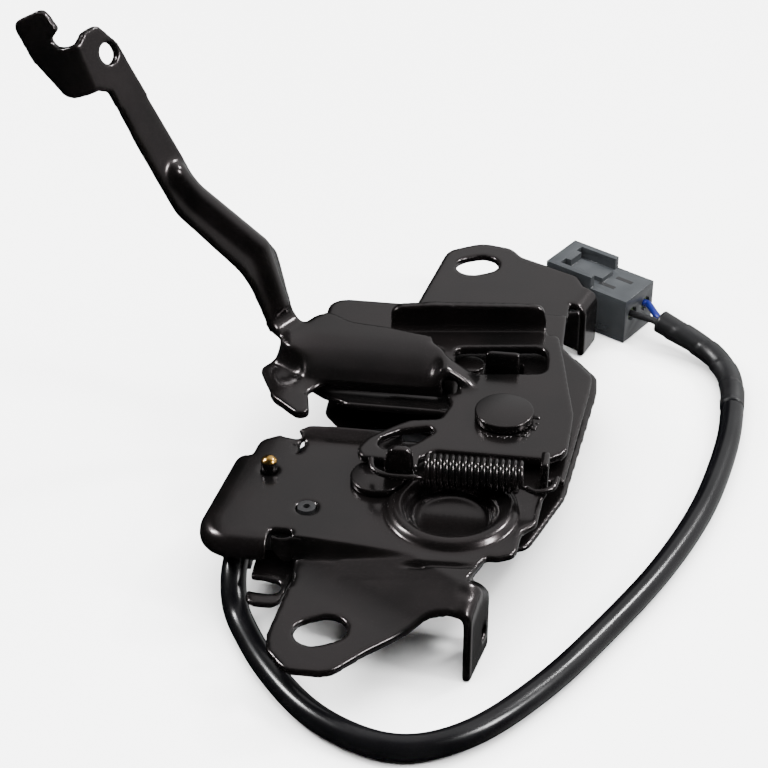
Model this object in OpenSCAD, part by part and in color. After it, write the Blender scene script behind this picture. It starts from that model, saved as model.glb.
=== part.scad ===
// Bonnet latch with safety lever, bonnet switch and wiring tail, lying on its back.
// X runs along the striker slot (mouth at -X), Y along the row of fixing slots, Z out of the latch face.
// The origin is midway between the two fixing slots, on the mounting plane.

/* [Sheet] */
// Thickness of the base plate
base_t = 2.0; // [1.8:0.1:2.2]
// Thickness of the safety lever
lever_t = 2.3; // [2.0:0.1:2.4]
// Thickness of the rear plate
rear_t = 1.6; // [1.4:0.1:1.8]
// Inside radius of the sharp bends
bend_r = 1.0; // [0.8:0.1:1.2]
// Inside radius of the soft bends
soft_r = 2.0; // [1.6:0.1:2.4]

/* [Heights] */
// Top face of the raised middle of the base plate
main_z = 8.0; // [7.9:0.05:8.1]
// Underside of the safety lever's pivot plate
lever_z = 10.3; // [10.25:0.05:10.5]
// Rise of the saddle over the pivot plate
saddle_rise = 6.0; // [5.5:0.1:6.5]
// Depth of the feet below the mounting plane
foot_depth = 14; // [12:0.5:16]
// Thickness of the claw and the pawl
claw_t = 3.6; // [3.2:0.1:3.6]
// Underside of the claw and the pawl
claw_z = 0.2; // [0.1:0.05:0.3]

/* [Fixing slots] */
// Distance between the two fixing slots along Y
slot_pitch_y = 154.6; // [152:0.2:156]
// Offset between the two fixing slots along X
slot_pitch_x = 18; // [16:0.5:20]
// Width of a fixing slot
slot_w = 8.8; // [8.4:0.1:9.2]
// Length of a fixing slot
slot_l = 11.8; // [11:0.1:12.6]
// Angle of the fixing slots from X
slot_a = 29; // [20:1:35]
// Diameter of the harness clip hole
clip_d = 3.4; // [3:0.1:4]

/* [Pivots] */
// Safety lever and pawl pivot along X
p1_x = 24.0; // [23.9:0.05:24.1]
// Safety lever and pawl pivot along Y
p1_y = -8.7; // [-8.8:0.05:-8.6]
// Claw pivot along X
p2_x = -3.0; // [-3.1:0.05:-2.9]
// Claw pivot along Y
p2_y = -31.2; // [-31.3:0.05:-31.1]
// Diameter of the lever rivet's head
p1_head_d = 14; // [13:0.1:15]
// Diameter of the lever rivet's shank
p1_d = 8; // [7.6:0.1:8.2]
// Diameter of the claw rivet's head
p2_head_d = 12.8; // [12:0.1:13]
// Diameter of the claw rivet's shank
p2_d = 7; // [6.6:0.1:7.2]
// Running clearance of a pivot, on the radius
run_gap = 0.05; // [0.03:0.01:0.09]
// Fixed fit of a rivet in a plate, on the radius
rivet_gap = 0.02; // [0.01:0.01:0.03]

/* [Claw and pawl] */
// Radius of the claw's rim
rim_r = 26.5; // [26:0.1:26.6]
// Radius of the claw's notch floor
notch_r = 22.8; // [22:0.1:23]
// Gap between the pawl's tooth and the rim
rim_gap = 0.4; // [0.35:0.05:0.6]

/* [Finger arm] */
// Angle of the fold line from X
arm_turn = 59.6; // [55:0.5:65]
// Fold angle of the finger arm
arm_fold = 67; // [60:1:72]
// Diameter of the hole in the arm's end
arm_hole_d = 5; // [4:0.1:6]
// Height of the stiffening bead
bead_h = 2; // [1.5:0.1:2.5]

/* [Springs] */
// Wire of the lever spring
spring_wire = 1.4; // [1.2:0.1:1.5]
// Outside diameter of the lever spring
spring_d = 8; // [7:0.1:8.4]
// Number of close coils of the lever spring
spring_turns = 16; // [14:1:17]
// Wire of the claw and pawl springs
torsion_wire = 1.2; // [1:0.1:1.3]

/* [Wiring] */
// Diameter of the harness sleeve
sleeve_d = 6; // [5.4:0.1:6.2]
// Diameter of a wire
wire_d = 1.9; // [1.6:0.1:2.1]
// Length of the connector
conn_l = 26; // [24:0.5:28]
// Width of the connector
conn_w = 14; // [13:0.5:16]
// Height of the connector
conn_h = 16.4; // [15:0.2:17]
// Angle of the connector from X
conn_a = -30; // [-32:0.5:-27]

/* [Hidden] */
$fn = 64;
arc_steps = 8;
lap = 1;
skim = 0.05;

// Derived heights
base_z = main_z - base_t;
rear_top = -0.3;
rear_z = rear_top - rear_t;
floor_z = -foot_depth;
lever_top = lever_z + lever_t;
saddle_top = lever_top + saddle_rise;
head_gap = 0.3;
head_z = lever_top + head_gap;
head_room = 0.5;
p1_head_h = 2.2;
p2_head_h = 1.9;
p1 = [p1_x, p1_y];
p2 = [p2_x, p2_y];
p3 = [13.2, 19.3];
p3_d = 5;
bush_d = p1_d + 3;
slots = [[-slot_pitch_x / 2, -slot_pitch_y / 2], [slot_pitch_x / 2, slot_pitch_y / 2]];

// Colours
paint = [0.16, 0.15, 0.155];
steel = [0.45, 0.45, 0.46];
plastic = [0.1, 0.1, 0.1];
grey = [0.36, 0.37, 0.38];

// Outlines with rounded corners: each point is [x, y, corner radius]
function unit(v) = v / norm(v);
function flat2(p) = [p[0], p[1]];
function corner(a, b, c, r) =
    let (
        d1 = unit(a - b),
        d2 = unit(c - b),
        half = acos(max(-1, min(1, d1 * d2))) / 2,
        o = b + unit(d1 + d2) * r / sin(half),
        p = b + d1 * r / tan(half) - o,
        q = b + d2 * r / tan(half) - o,
        s = atan2(p[1], p[0]),
        turn = atan2(p[0] * q[1] - p[1] * q[0], p * q)
    )
    [for (i = [0:arc_steps]) o + r * [cos(s + turn * i / arc_steps), sin(s + turn * i / arc_steps)]];
function rounded(pts) =
    let (n = len(pts))
    [for (i = [0:n - 1])
        each pts[i][2] == 0
            ? [flat2(pts[i])]
            : corner(flat2(pts[(i + n - 1) % n]), flat2(pts[i]), flat2(pts[(i + 1) % n]), pts[i][2])];

module sheet(pts, t) {
    linear_extrude(t) polygon(rounded(pts));
}

// Slot with round ends, centred, along X
module long_hole(l, w, h) {
    straight = l - w;
    translate([-straight / 2, -w / 2, 0]) cube([straight, w, h]);
    for (s = [-1, 1]) translate([s * straight / 2, 0, 0]) cylinder(d = w, h = h);
}

// Section of a bend up: x away from the bend line, y up, the flat sheet's top at y = 0
function bend_profile(r, t, a, leg) =
    let (n = ceil(a / 11), tip = leg * [cos(a), sin(a)], inner = r * [sin(a), 1 - cos(a)])
    concat(
        [[-lap, 0]],
        [for (i = [0:n]) r * [sin(a * i / n), 1 - cos(a * i / n)]],
        [inner + tip, inner + t * [sin(a), -cos(a)] + tip],
        [for (i = [n:-1:0]) [(r + t) * sin(a * i / n), r - (r + t) * cos(a * i / n)]],
        [[-lap, -t]]
    );
function turned_down(profile, t) = [for (q = profile) [q[0], -t - q[1]]];

// Flange along X, bent up on the +Y side of the bend line
module bend_up(l, r, t, a, leg) {
    rotate([90, 0, 90]) linear_extrude(l) polygon(bend_profile(r, t, a, leg));
}

// The same with its outline trimmed by a flat child: x along the bend, y away from it
module shaped_bend(from, to, r, t, a, leg) {
    reach = 30;
    intersection() {
        translate([from, 0, 0]) bend_up(to - from, r, t, a, leg);
        translate([0, 0, r]) rotate([a, 0, 0]) translate([0, 0, -reach]) linear_extrude(2 * reach) children();
    }
}

// Flange along X, bent straight down on the -Y side of the bend line
module down_flange(l, r, t, leg) {
    rotate([90, 0, 90]) mirror([1, 0]) linear_extrude(l) polygon(turned_down(bend_profile(r, t, 90, leg), t));
}

// Joggle along X: the sheet's top runs from z1 to z2 over a run towards +Y
module joggle(l, run, z1, z2, t) {
    slope = atan2(z2 - z1, run);
    shift = t * tan(slope / 2);
    rotate([90, 0, 90]) linear_extrude(l)
        polygon([[-lap, z1], [0, z1], [run, z2], [run + lap, z2],
            [run + lap, z2 - t], [run + shift, z2 - t], [shift, z1 - t], [-lap, z1 - t]]);
}

// Tube along a smooth curve through hand-chosen points
function spline(p, k, u) =
    let (
        n = len(p) - 1,
        a = p[max(k - 1, 0)],
        b = p[k],
        c = p[min(k + 1, n)],
        d = p[min(k + 2, n)]
    )
    0.5 * (2 * b + (c - a) * u + (2 * a - 5 * b + 4 * c - d) * u * u + (3 * b - a - 3 * c + d) * u * u * u);
function route(p, steps) =
    [for (k = [0:len(p) - 2]) for (i = [0:steps - 1]) spline(p, k, i / steps), p[len(p) - 1]];
function tangent(p, i) = unit(p[min(i + 1, len(p) - 1)] - p[max(i - 1, 0)]);
function across(t) = unit(cross(t, abs(t[2]) < 0.9 ? [0, 0, 1] : [1, 0, 0]));
module tube(p, d, sides, from = 0, to = -1) {
    end = to < 0 ? len(p) - 1 : to;
    n = end - from + 1;
    rings = [for (i = [from:end])
        let (t = tangent(p, i), u = across(t), v = cross(t, u))
        for (k = [0:sides - 1])
            p[i] + d / 2 * (cos(360 * k / sides) * u + sin(360 * k / sides) * v)];
    walls = [for (i = [0:n - 2]) for (k = [0:sides - 1])
        [i * sides + k, i * sides + (k + 1) % sides, (i + 1) * sides + (k + 1) % sides, (i + 1) * sides + k]];
    ends = [[for (k = [sides - 1:-1:0]) k], [for (k = [0:sides - 1]) (n - 1) * sides + k]];
    polyhedron(rings, concat(walls, ends), convexity = 10);
}

// Base plate: striker slot, lips, tabs and flanges of one stamping
lip_y = -19;
lip_x = -22.5;
lip_l = 23;
lip_a = 16;
lip_r = 3;
lip_h = 5.6;
stop_x = 17.4;
stop_y = 10.8;
stop_w = 8.4;
stop_top = 17;
anchor_x = 33.2;
anchor_y = -25.8;
anchor_w = 6;
anchor_top = 17;
dish = [15, -39.5];
dish_crest_r = 12.6;
dish_bead_r = 2.6;
dish_depth = 1.8;
dish_wall = 1.6;
dish_in = 1.4;
bead_sink = 0.8;
bead_hollow = 1.2;
left_a = 82;
left_corner = [-32.2, -48.3];
left_r = 5.3;
left_leg = 1.4;
left_l = 23;
front_l = 7.5;
brass = [-28.6, -30.4];
brass_d = 3.4;
pin = [-17.7, -43];
pin_d = 4.2;
pin_gap = 0.15;
main_outline = [[-37.95, -53.3, 5], [-24.5, -53.3, 0], [-24.5, -51.5, 1], [-19.5, -51.5, 1],
    [-19.5, -54, 0], [27, -55, 2], [31, -53, 3], [31.6, -45, 2], [34.7, -41.6, 2], [35.3, -32, 2],
    [39.5, -27, 3], [43.3, 12, 4], [43.7, 19, 5], [35.4, 31, 4], [35.4, 46, 0], [-26.5, 46, 5],
    [-26.5, 6, 4], [-14, -4, 5], [12, -4, 4], [12, -14, 4], [0.5, -14, 0.5], [0.5, lip_y, 0],
    [lip_x, lip_y, 0], [lip_x, -22.5, 1], [-25, -22.5, 1], [-25, -17, 1], [-28.5, -15.6, 2],
    [-33, -18.5, 4], [-33.8, -23.8, 0]];
lower_tab = [[-18.2, -61.2, 0], [-20.3, -80, 4], [-19.5, -85, 4], [-14.5, -90.8, 5], [-5, -90.5, 6],
    [2, -82.3, 8], [14, -70.8, 6], [17.4, -71.2, 1.5], [19.2, -70.2, 0], [20.5, -64.2, 0]];
upper_tab = [[-5.4, 53, 0], [35.4, 53, 0], [35.4, 61, 0], [38.5, 70.6, 0], [36.5, 75.6, 2],
    [20.7, 83.3, 3], [17.5, 87.5, 4], [9.1, 89.4, 8], [0, 84, 6]];
low_flange_from = [18.3, -71.4];
low_flange_a = 78.5;
low_flange_l = 14.2;
clip_at = 10.5;
clip_drop = 10;
web_from = [-21, -60.6, 0];
web_a = -4.5;
web_l = 50;
web_run = 7.6;
up_web_from = [-5.4, 44.6, 0];
up_web_l = 40.8;
up_web_run = 9.4;
web_outline = [[-19.4, -51], [27, -51], [23.6, -57], [20.1, -66], [-17.8, -66]];
up_flange_from = [35.9, 61.2];
up_flange_a = 72;
up_flange_l = 9.6;

module main_sheet() {
    translate([0, 0, base_z]) difference() {
        sheet(main_outline, base_t);
        translate([0, 0, -1]) {
            for (c = [p1, p2]) {
                d = c == p1 ? p1_d : p2_d;
                translate(c) cylinder(d = d + 2 * rivet_gap, h = base_t + 2);
            }
            translate(p3) cylinder(d = p3_d + 2 * rivet_gap, h = base_t + 2);
            translate(brass) cylinder(d = brass_d + 2 * rivet_gap, h = base_t + 2);
            translate(pin) cylinder(d = pin_d + 2 * pin_gap, h = base_t + 2);
            translate([stop_x - 0.5, stop_y, 0]) cube([stop_w + 1, 11, base_t + 2]);
            translate([anchor_x, anchor_y - anchor_w - 0.5, 0]) cube([12, anchor_w + 1, base_t + 2]);
            translate(dish) cylinder(r = dish_crest_r + dish_wall, h = base_t + 2);
        }
    }
}

// Round dish with a raised rim, cut back round the claw rivet's head
module dish_form() {
    inner = dish_crest_r - dish_in;
    difference() {
        translate([dish[0], dish[1], 0]) rotate_extrude() difference() {
            translate([dish_crest_r, main_z - bead_sink]) circle(dish_bead_r);
            translate([0, -1]) square([2 * dish_crest_r, base_z + 1]);
            translate([dish_crest_r, base_z]) circle(bead_hollow);
        }
        translate([p2_x, p2_y, main_z]) cylinder(d = p2_head_d + 2 * head_room, h = dish_bead_r + 1);
    }
    translate([dish[0], dish[1], 0]) {
        translate([0, 0, main_z - dish_depth - base_t]) difference() {
            cylinder(r = inner, h = base_t + dish_depth);
            translate([0, 0, base_t]) cylinder(r = inner - dish_wall, h = base_t + dish_depth);
        }
    }
}

module low_flange() {
    leg = foot_depth - base_t;
    translate([low_flange_from[0], low_flange_from[1], base_t]) rotate(low_flange_a) difference() {
        translate([0, -base_t / 2, 0]) down_flange(low_flange_l, soft_r, base_t, leg);
        translate([clip_at, -2 * soft_r - 2 * base_t, -clip_drop]) rotate([-90, 0, 0])
            cylinder(d = clip_d, h = 3 * base_t);
    }
}

// Flange round the left corner: front edge, corner and left edge
module left_flange() {
    t = base_t - 2 * skim;
    thin = t - 2 * skim;
    translate([left_corner[0], left_corner[1], main_z - skim]) {
        rotate(left_a + 90) rotate_extrude(angle = 180 - left_a)
            translate([left_r, 0]) polygon(turned_down(bend_profile(soft_r, t, 90, left_leg), t));
        translate([-lap / 2, -left_r, -skim]) down_flange(front_l + lap / 2, soft_r + skim, thin, left_leg);
        rotate(left_a + 180) translate([-left_l, -left_r, -skim])
            down_flange(left_l + lap / 2, soft_r + skim, thin, left_leg);
    }
}

module base_plate() {
    color(paint) union() {
        difference() {
            union() {
                main_sheet();
                dish_form();
                intersection() {
                    translate(web_from) rotate(web_a) joggle(web_l, web_run, base_t, main_z, base_t);
                    linear_extrude(main_z) polygon(web_outline);
                }
                translate(up_web_from) joggle(up_web_l, up_web_run, main_z, base_t, base_t);
                sheet(lower_tab, base_t);
                sheet(upper_tab, base_t);
            }
            for (c = slots) translate([c[0], c[1], -1]) rotate(slot_a) long_hole(slot_l, slot_w, base_t + 2);
        }
        low_flange();
        translate([up_flange_from[0], up_flange_from[1], base_t]) rotate(up_flange_a)
            down_flange(up_flange_l, soft_r, base_t, foot_depth - base_t);
        translate([lip_x, lip_y, main_z]) shaped_bend(-3, lip_l, lip_r, base_t, lip_a, lip_h + 1)
            polygon(rounded([[0, -8, 0], [lip_l, -8, 0], [lip_l, lip_h, 1], [1, lip_h, 3],
                [-2.5, lip_h - 2, 1], [-2.5, 0.8, 0.5], [0, 0.8, 0]]));
        translate([stop_x, stop_y, main_z]) shaped_bend(0, stop_w, bend_r, base_t, 90, stop_top)
            polygon(rounded([[0, -8, 0], [stop_w, -8, 0], [stop_w, stop_top - main_z - bend_r, 0.8],
                [0, stop_top - main_z - bend_r, 0.8]]));
        translate([anchor_x, anchor_y, main_z]) rotate(-90)
            shaped_bend(0, anchor_w, bend_r, base_t, 90, anchor_top)
                polygon(rounded([[0, -8, 0], [anchor_w, -8, 0], [anchor_w, anchor_top - main_z - bend_r, 1],
                    [0, anchor_top - main_z - bend_r, 1]]));
        left_flange();
    }
}

// Rear plate: carries the tails of the pivot rivets and the left foot
rear_outline = [[-28, -68, 3], [-20, -68, 3], [-18.2, -58, 2], [-10, -52, 4], [10, -50, 6], [33, -40, 5],
    [40, -20, 5], [45, 25, 4], [44.5, 31, 3], [39, 38.5, 4], [30, 44.5, 4], [-21.8, 44.5, 2],
    [-21.8, 6, 4], [-14, -3, 4], [14, -3, 4], [14, -15, 4], [-26, -15, 4], [-28.3, -40, 3]];
foot_y = 30;
foot_l = 13;

module rear_plate() {
    color(paint) {
        translate([0, 0, rear_z]) difference() {
            sheet(rear_outline, rear_t);
            translate([0, 0, -1]) {
                translate(p1) cylinder(d = p1_d + 2 * rivet_gap, h = rear_t + 2);
                translate(p2) cylinder(d = p2_d + 2 * rivet_gap, h = rear_t + 2);
                translate(p3) cylinder(d = p3_d + 2 * rivet_gap, h = rear_t + 2);
                translate(brass) cylinder(d = brass_d + 2, h = rear_t + 2);
                translate([-25, -61.5, 0]) rotate(-8) long_hole(9, 4.6, rear_t + 2);
                translate([21.6, 16, 0]) rotate(8) long_hole(15, 10, rear_t + 2);
            }
        }
        translate([-21.8, foot_y, rear_top]) rotate(-90) mirror([1, 0, 0])
            down_flange(foot_l, bend_r, rear_t, foot_depth + rear_top - bend_r - rear_t);
    }
}

// Safety lever: pivot plate, saddle, hook, spring arm and finger arm of one stamping
lever_outline = [[35, -23.4, 4], [39.8, -19.8, 4], [40.2, -4.2, 6], [36.3, 18.6, 8], [34.2, 29.5, 2],
    [31.3, 29.1, 0], [-7.5, 23.7, 0], [-7.5, 19, 1], [6, 19, 1], [6, 8.5, 1], [11.5, 8, 1], [11.5, 1, 1],
    [9.2, -0.2, 1], [10.8, -4.2, 3], [8.9, -10.6, 2], [1.7, -12.1, 3], [-2.3, -15.5, 4], [-7.1, -20.6, 4],
    [-8.9, -24.9, 2], [-7.6, -28, 2], [-1.5, -28.4, 0], [-1.5, -30, 0], [6, -30, 0], [6, -26.8, 1],
    [9.3, -23.3, 3]];
window_outline = [[9.4, 20, 2], [31.7, 23.3, 3], [32.4, 11.8, 3], [10.1, 8.6, 2]];
arm_slot = [[-4.4, -22.2, 1.4], [-3.6, -19.6, 1.4], [0.4, -16.2, 1.6], [6.8, -14, 1.6], [8.4, -16, 1.4],
    [4.6, -21, 2], [1.2, -24, 1.6], [-3.2, -24.2, 1.2]];
saddle_y = 5.1;
saddle_outline = [[-26.5, saddle_y, 0], [8, saddle_y, 0], [8, 10, 2], [4.2, 15.2, 4], [-7.7, 18.1, 8],
    [-17, 19.2, 8], [-24.6, 24.2, 4], [-28.1, 18.2, 0], [-33, 9.9, 0], [-31, 6.5, 2]];
hook_outline = [[-38, 5.4, 3], [-32.2, -6.8, 6], [-24.8, -13.4, 2], [-22.3, -11.5, 1.5], [-24, -3.5, 2],
    [-20.5, 0.8, 2], [-20.5, 4.5, 0], [-27, 5.4, 0], [-32.3, 11.1, 2]];
ramp_from = [7.4, 9, 0];
ramp_l = 6.4;
ramp_run = 9;
hook_from = [-34.8, 6.8, 0];
hook_a = -28;
hook_l = 10.6;
hook_run = 3.3;
wall_l = 34.5;
far_at = [-7.5, 23.7];
far_a = 7.92;
far_fold = 88;
tab_at = [6, -30];
far_l = 39.2;
far_h = 5.2;
tab_l = 7.5;
tab_h = 5.4;
fold_at = [-31.8, 16.5];
fold_r = 3;
fold_run = fold_r * tan(arm_fold / 2);
arm_left = -33;
arm_right = 6;
arm_reach = 90;
end_right = 23;
end_reach = 14;
arm_t = lever_t - 2 * skim;
arm_outline = [[-6, -8, 0], [-6, fold_run + 0.6, 0], [-7, 12.7, 3], [-8.6, 17.5, 8], [-21.1, 38.1, 6],
    [-25, 55.9, 0], [-27.4, 71.2, 0], [-30.4, 72.7, 0], [-31.3, 84.6, 0], [-29, 86.2, 1.5], [-24.7, 86.5, 2],
    [-21, 81.1, 4], [-13.4, 48, 6], [-12.5, 40.9, 4], [1.4, 22.6, 6], [4.4, 18, 5], [3, fold_run + 0.6, 0],
    [3, -8, 0]];
bead_path = [[-17.6, 47], [-14.6, 40.4], [-0.8, 20.4], [-1.2, 3.5]];
bead_r = 3.3;
bead_in_r = 1.7;
arm_hole = [-24.4, 79.5];
end_at = [-30.4, 72.7];
end_a = 94.3;
end_l = 11.9;
end_fold = 75;
end_outline = [[0, -8, 0], [end_l, -8, 0], [end_l, 0.6, 0], [end_l + 0.5, 2.3, 0.4], [14.4, 3.4, 0.5],
    [16.3, 0.2, 0.4], [21.8, 1.8, 2], [20.6, 11.2, 2], [11, 10.1, 3], [1, 5.6, 2], [0, 3.5, 1]];

// Round bead along the arm, on rods that meet in slightly larger balls
module bead(r, z) {
    last = len(bead_path) - 1;
    for (i = [0:last - 1]) {
        step = bead_path[i + 1] - bead_path[i];
        translate([bead_path[i][0], bead_path[i][1], z]) {
            sphere(r + skim);
            rotate([0, 90, atan2(step[1], step[0])]) cylinder(r = r, h = norm(step));
        }
    }
}

module finger_arm() {
    translate([fold_at[0], fold_at[1], saddle_top - skim]) rotate(arm_turn) translate([0, -fold_run, 0]) {
        difference() {
            union() {
                shaped_bend(arm_left, arm_right, fold_r, arm_t, arm_fold, arm_reach)
                    translate([0, -fold_run]) polygon(rounded(arm_outline));
                on_arm() intersection() {
                    bead(bead_r, arm_t + bead_h - bead_r);
                    translate([-50, -10, arm_t / 2]) cube([70, 70, 10]);
                }
            }
            on_arm() {
                bead(bead_in_r, bead_h - bead_in_r);
                translate([arm_hole[0], arm_hole[1], -1]) cylinder(d = arm_hole_d, h = arm_t + 2);
            }
        }
        on_arm() translate([end_at[0], end_at[1], skim]) rotate(end_a) mirror([0, 0, 1])
            shaped_bend(0, end_right, bend_r, arm_t - 2 * skim, end_fold, end_reach)
                polygon(rounded(end_outline));
    }
}

// Flat frame of the finger arm: y along the arm from the fold, z through the sheet
module on_arm() {
    translate([0, 0, fold_r]) rotate([arm_fold, 0, 0]) translate([0, -fold_run, -fold_r - arm_t]) children();
}

module safety_lever() {
    color(paint) union() {
        difference() {
            translate([0, 0, lever_z]) sheet(lever_outline, lever_t);
            translate([p1_x, p1_y, lever_z - 1]) cylinder(d = bush_d + 2 * run_gap, h = lever_t + 2);
            translate([0, 0, lever_z - 1]) sheet(window_outline, lever_t + 2);
            translate([0, 0, lever_z - 1]) sheet(arm_slot, lever_t + 2);
        }
        translate([far_at[0], far_at[1], lever_top]) rotate(far_a)
            shaped_bend(0, far_l, soft_r, lever_t, far_fold, far_h + 1)
                polygon(rounded([[0, -12, 0], [far_l, -12, 0], [far_l, 0, 0], [far_l - 0.8, far_h - 0.6, 3],
                    [10, far_h, 3], [0, far_h - 0.6, 3]]));
        translate([tab_at[0], tab_at[1], lever_top]) rotate(180)
            shaped_bend(0, tab_l, bend_r, lever_t, 90, tab_h + 1)
                polygon(rounded([[0, -8, 0], [tab_l, -8, 0], [tab_l, 0, 0], [tab_l - 1, tab_h, 2],
                    [1, tab_h, 2]]));
        translate([0, 0, saddle_top - lever_t]) sheet(saddle_outline, lever_t);
        translate([saddle_outline[0][0], saddle_y, saddle_top])
            down_flange(wall_l, soft_r, lever_t, saddle_rise - soft_r);
        translate([0, 0, lever_z]) sheet(hook_outline, lever_t);
        translate(ramp_from) rotate(-90) joggle(ramp_l, ramp_run, saddle_top, lever_top, lever_t);
        translate(hook_from) rotate(hook_a) joggle(hook_l, hook_run, lever_top, saddle_top, lever_t);
        finger_arm();
    }
}

// Pivot rivets, bush and spacer
tail_h = 1.6;
tail_over = 4;
bush_flange = 5;
far_head_d = 6.8;
far_head_h = 0.5;
far_tail_d = 8;
far_tail_h = 1.2;
spacer_d = 8;

module lever_rivet() {
    color(paint) translate([p1_x, p1_y, 0]) {
        translate([0, 0, head_z]) cylinder(d = p1_head_d, h = p1_head_h);
        translate([0, 0, rear_z]) cylinder(d = p1_d, h = head_z - rear_z);
        translate([0, 0, rear_z - tail_h]) cylinder(d = p1_d + tail_over, h = tail_h);
    }
}

module lever_bush() {
    color(steel) translate([p1_x, p1_y, main_z]) difference() {
        union() {
            cylinder(d = bush_d, h = head_z - main_z);
            cylinder(d = bush_d + bush_flange, h = lever_z - main_z - head_gap);
        }
        translate([0, 0, -1]) cylinder(d = p1_d + 2 * rivet_gap, h = head_z - main_z + 2);
    }
}

module claw_rivet() {
    color(paint) translate([p2_x, p2_y, 0]) {
        translate([0, 0, main_z]) cylinder(d = p2_head_d, h = p2_head_h);
        translate([0, 0, rear_z]) cylinder(d = p2_d, h = main_z - rear_z);
        translate([0, 0, rear_z - tail_h]) cylinder(d = p2_d + tail_over, h = tail_h);
    }
}

module far_rivet() {
    color(paint) translate([p3[0], p3[1], 0]) {
        translate([0, 0, main_z]) cylinder(d = far_head_d, h = far_head_h);
        translate([0, 0, rear_z]) cylinder(d = p3_d, h = main_z - rear_z);
        translate([0, 0, rear_z - far_tail_h]) cylinder(d = far_tail_d, h = far_tail_h);
    }
}

module far_spacer() {
    color(steel) translate([p3[0], p3[1], rear_top]) difference() {
        cylinder(d = spacer_d, h = base_z - rear_top);
        translate([0, 0, -1]) cylinder(d = p3_d + 2 * rivet_gap, h = base_z - rear_top + 2);
    }
}

// Claw and pawl, drawn with the claw open and the pawl's tooth riding over the rim
mouth_x = -10.5;
hook_r = 26.5;
hub_r = 9.5;
prong_end = 56;
tooth_from = 37;
tooth_to = 20;
far_r = 45;

function ray(a, r) = r * [cos(a), sin(a)];

module claw() {
    color(steel) translate([p2_x, p2_y, claw_z]) linear_extrude(claw_t) difference() {
        union() {
            circle(hub_r);
            intersection() {
                circle(rim_r);
                polygon([[mouth_x, 11], [mouth_x, far_r], ray(tooth_to, far_r), [8, -4], [-4, 0]]);
            }
            intersection() {
                circle(hook_r);
                polygon([[0, 0], ray(136, far_r), ray(160, far_r), [-6, -7]]);
            }
        }
        difference() {
            polygon([[0, 0], ray(tooth_from, far_r), ray(prong_end, far_r)]);
            circle(notch_r);
        }
        circle(d = p2_d + 2 * run_gap);
    }
}

pawl_x = rim_r + rim_gap - norm(p1 - p2) * cos(atan2(p1_y - p2_y, p1_x - p2_x));
module pawl() {
    color(steel) translate([p1_x, p1_y, claw_z]) linear_extrude(claw_t) difference() {
        union() {
            circle(7.4);
            polygon(rounded([[pawl_x, -26.5, 0.6], [pawl_x + 6, -26.5, 2], [pawl_x + 6.4, -2, 0],
                [pawl_x + 3.4, -3, 0], [pawl_x + 3.4, -20.3, 1], [pawl_x, -20.3, 0.6]]));
            polygon(rounded([[-3, 3, 0], [6, 3, 0], [12, 22, 3], [10, 29, 4], [4, 28, 3], [3.4, 22, 2]]));
        }
        circle(d = p1_d + 2 * run_gap);
        translate([8, 24.4]) circle(d = 4.4);
    }
}

// Springs
spring_y = -33.1;
spring_z = 14;
spring_from = 7.6;
spring_mid_r = (spring_d - spring_wire) / 2;
spring_pitch = spring_wire + 0.02;
spring_end = spring_from + spring_turns * spring_pitch;
coil_points = [for (i = [0:spring_turns * 12])
    [spring_from + i / 12 * spring_pitch, spring_y - spring_mid_r * cos(i * 30),
        spring_z - spring_mid_r * sin(i * 30)]];
left_hook = [[-4.6, -31.2, spring_z + 0.6], [-3.6, -34.6, spring_z], [0, -36.6, spring_z],
    [5, -36.6, spring_z]];
right_hook = [[31.4, -35.6, spring_z - 1], [34, -36, spring_z - 1.6], [37.4, -34, spring_z - 1.6],
    [38.2, -30.4, spring_z - 1.4]];

module lever_spring() {
    color(paint) tube(concat(left_hook, coil_points, right_hook), spring_wire, 6);
}

// Flat torsion spring round a pivot: each leg is [reach, angle], the coil runs from the first to the second
torsion_gap = 0.3;
torsion_z = claw_z + claw_t + torsion_gap + torsion_wire / 2;
module torsion_spring(at, r, legs) {
    turn_in = 22;
    coil = [for (i = [0:24]) [r, legs[0][1] + turn_in + i / 24 * (legs[1][1] - legs[0][1] - 2 * turn_in)]];
    feet = [for (leg = legs) [r + 2 * torsion_wire, leg[1]]];
    path = concat([legs[0], feet[0]], coil, [feet[1], legs[1]]);
    color(steel) tube([for (q = path) [at[0] + q[0] * cos(q[1]), at[1] + q[0] * sin(q[1]), torsion_z]],
        torsion_wire, 8);
}

module claw_spring() {
    torsion_spring(p2, p2_d / 2 + torsion_wire, [[15, -67], [15, 157]]);
}

module pawl_spring() {
    torsion_spring(p1, p1_d / 2 + torsion_wire, [[14.5, 106], [14.5, 344]]);
}

// Bonnet switch between the plates, drawn pressed by the open claw
switch_z = 0.2;
switch_top = base_z - 0.05;
switch_mid = (switch_z + switch_top) / 2;
switch_lo = [-35, -50];
switch_hi = [-13.5, -36];
plunger_x = -20;
plunger_d = 2.6;
plunger_gap = 0.1;
plunger_tip = -33.3;
plunger_tail = -41.2;
plunger_travel = 2;
collar_t = 0.8;
contact_t = 0.6;
wall = 1.4;
exit_at = [-33, -49.6, -3.1];
exit_w = 6.4;

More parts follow.
